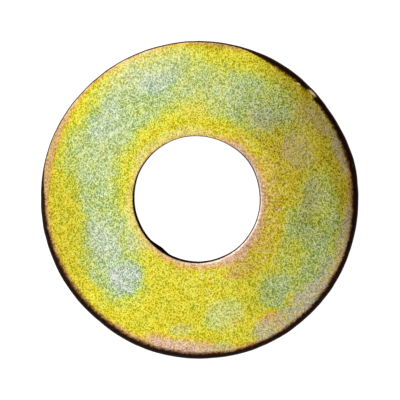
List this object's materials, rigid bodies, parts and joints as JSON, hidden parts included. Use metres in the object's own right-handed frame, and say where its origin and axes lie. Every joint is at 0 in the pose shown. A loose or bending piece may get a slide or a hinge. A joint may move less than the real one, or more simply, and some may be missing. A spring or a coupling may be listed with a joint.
{
  "type": "flat washer",
  "caption": "Plain round stamped steel washer with yellow zinc plating, which spreads the load of a bolt head or nut over a joint.",
  "frame": {"origin": "on the hole's axis, in the plane of the lower face", "axes": "+Z along the hole's axis, out of the face with the rolled edges"},
  "size_m": [0.0444, 0.0444, 0.0034],
  "materials": {
    "yellow_zinc_steel": "zinc plated and yellow chromated, satin and finely grained, with green, grey and pink tints in the film"
  },
  "bodies": {
    "root": {"washer": "yellow_zinc_steel"}
  },
  "joints": []
}
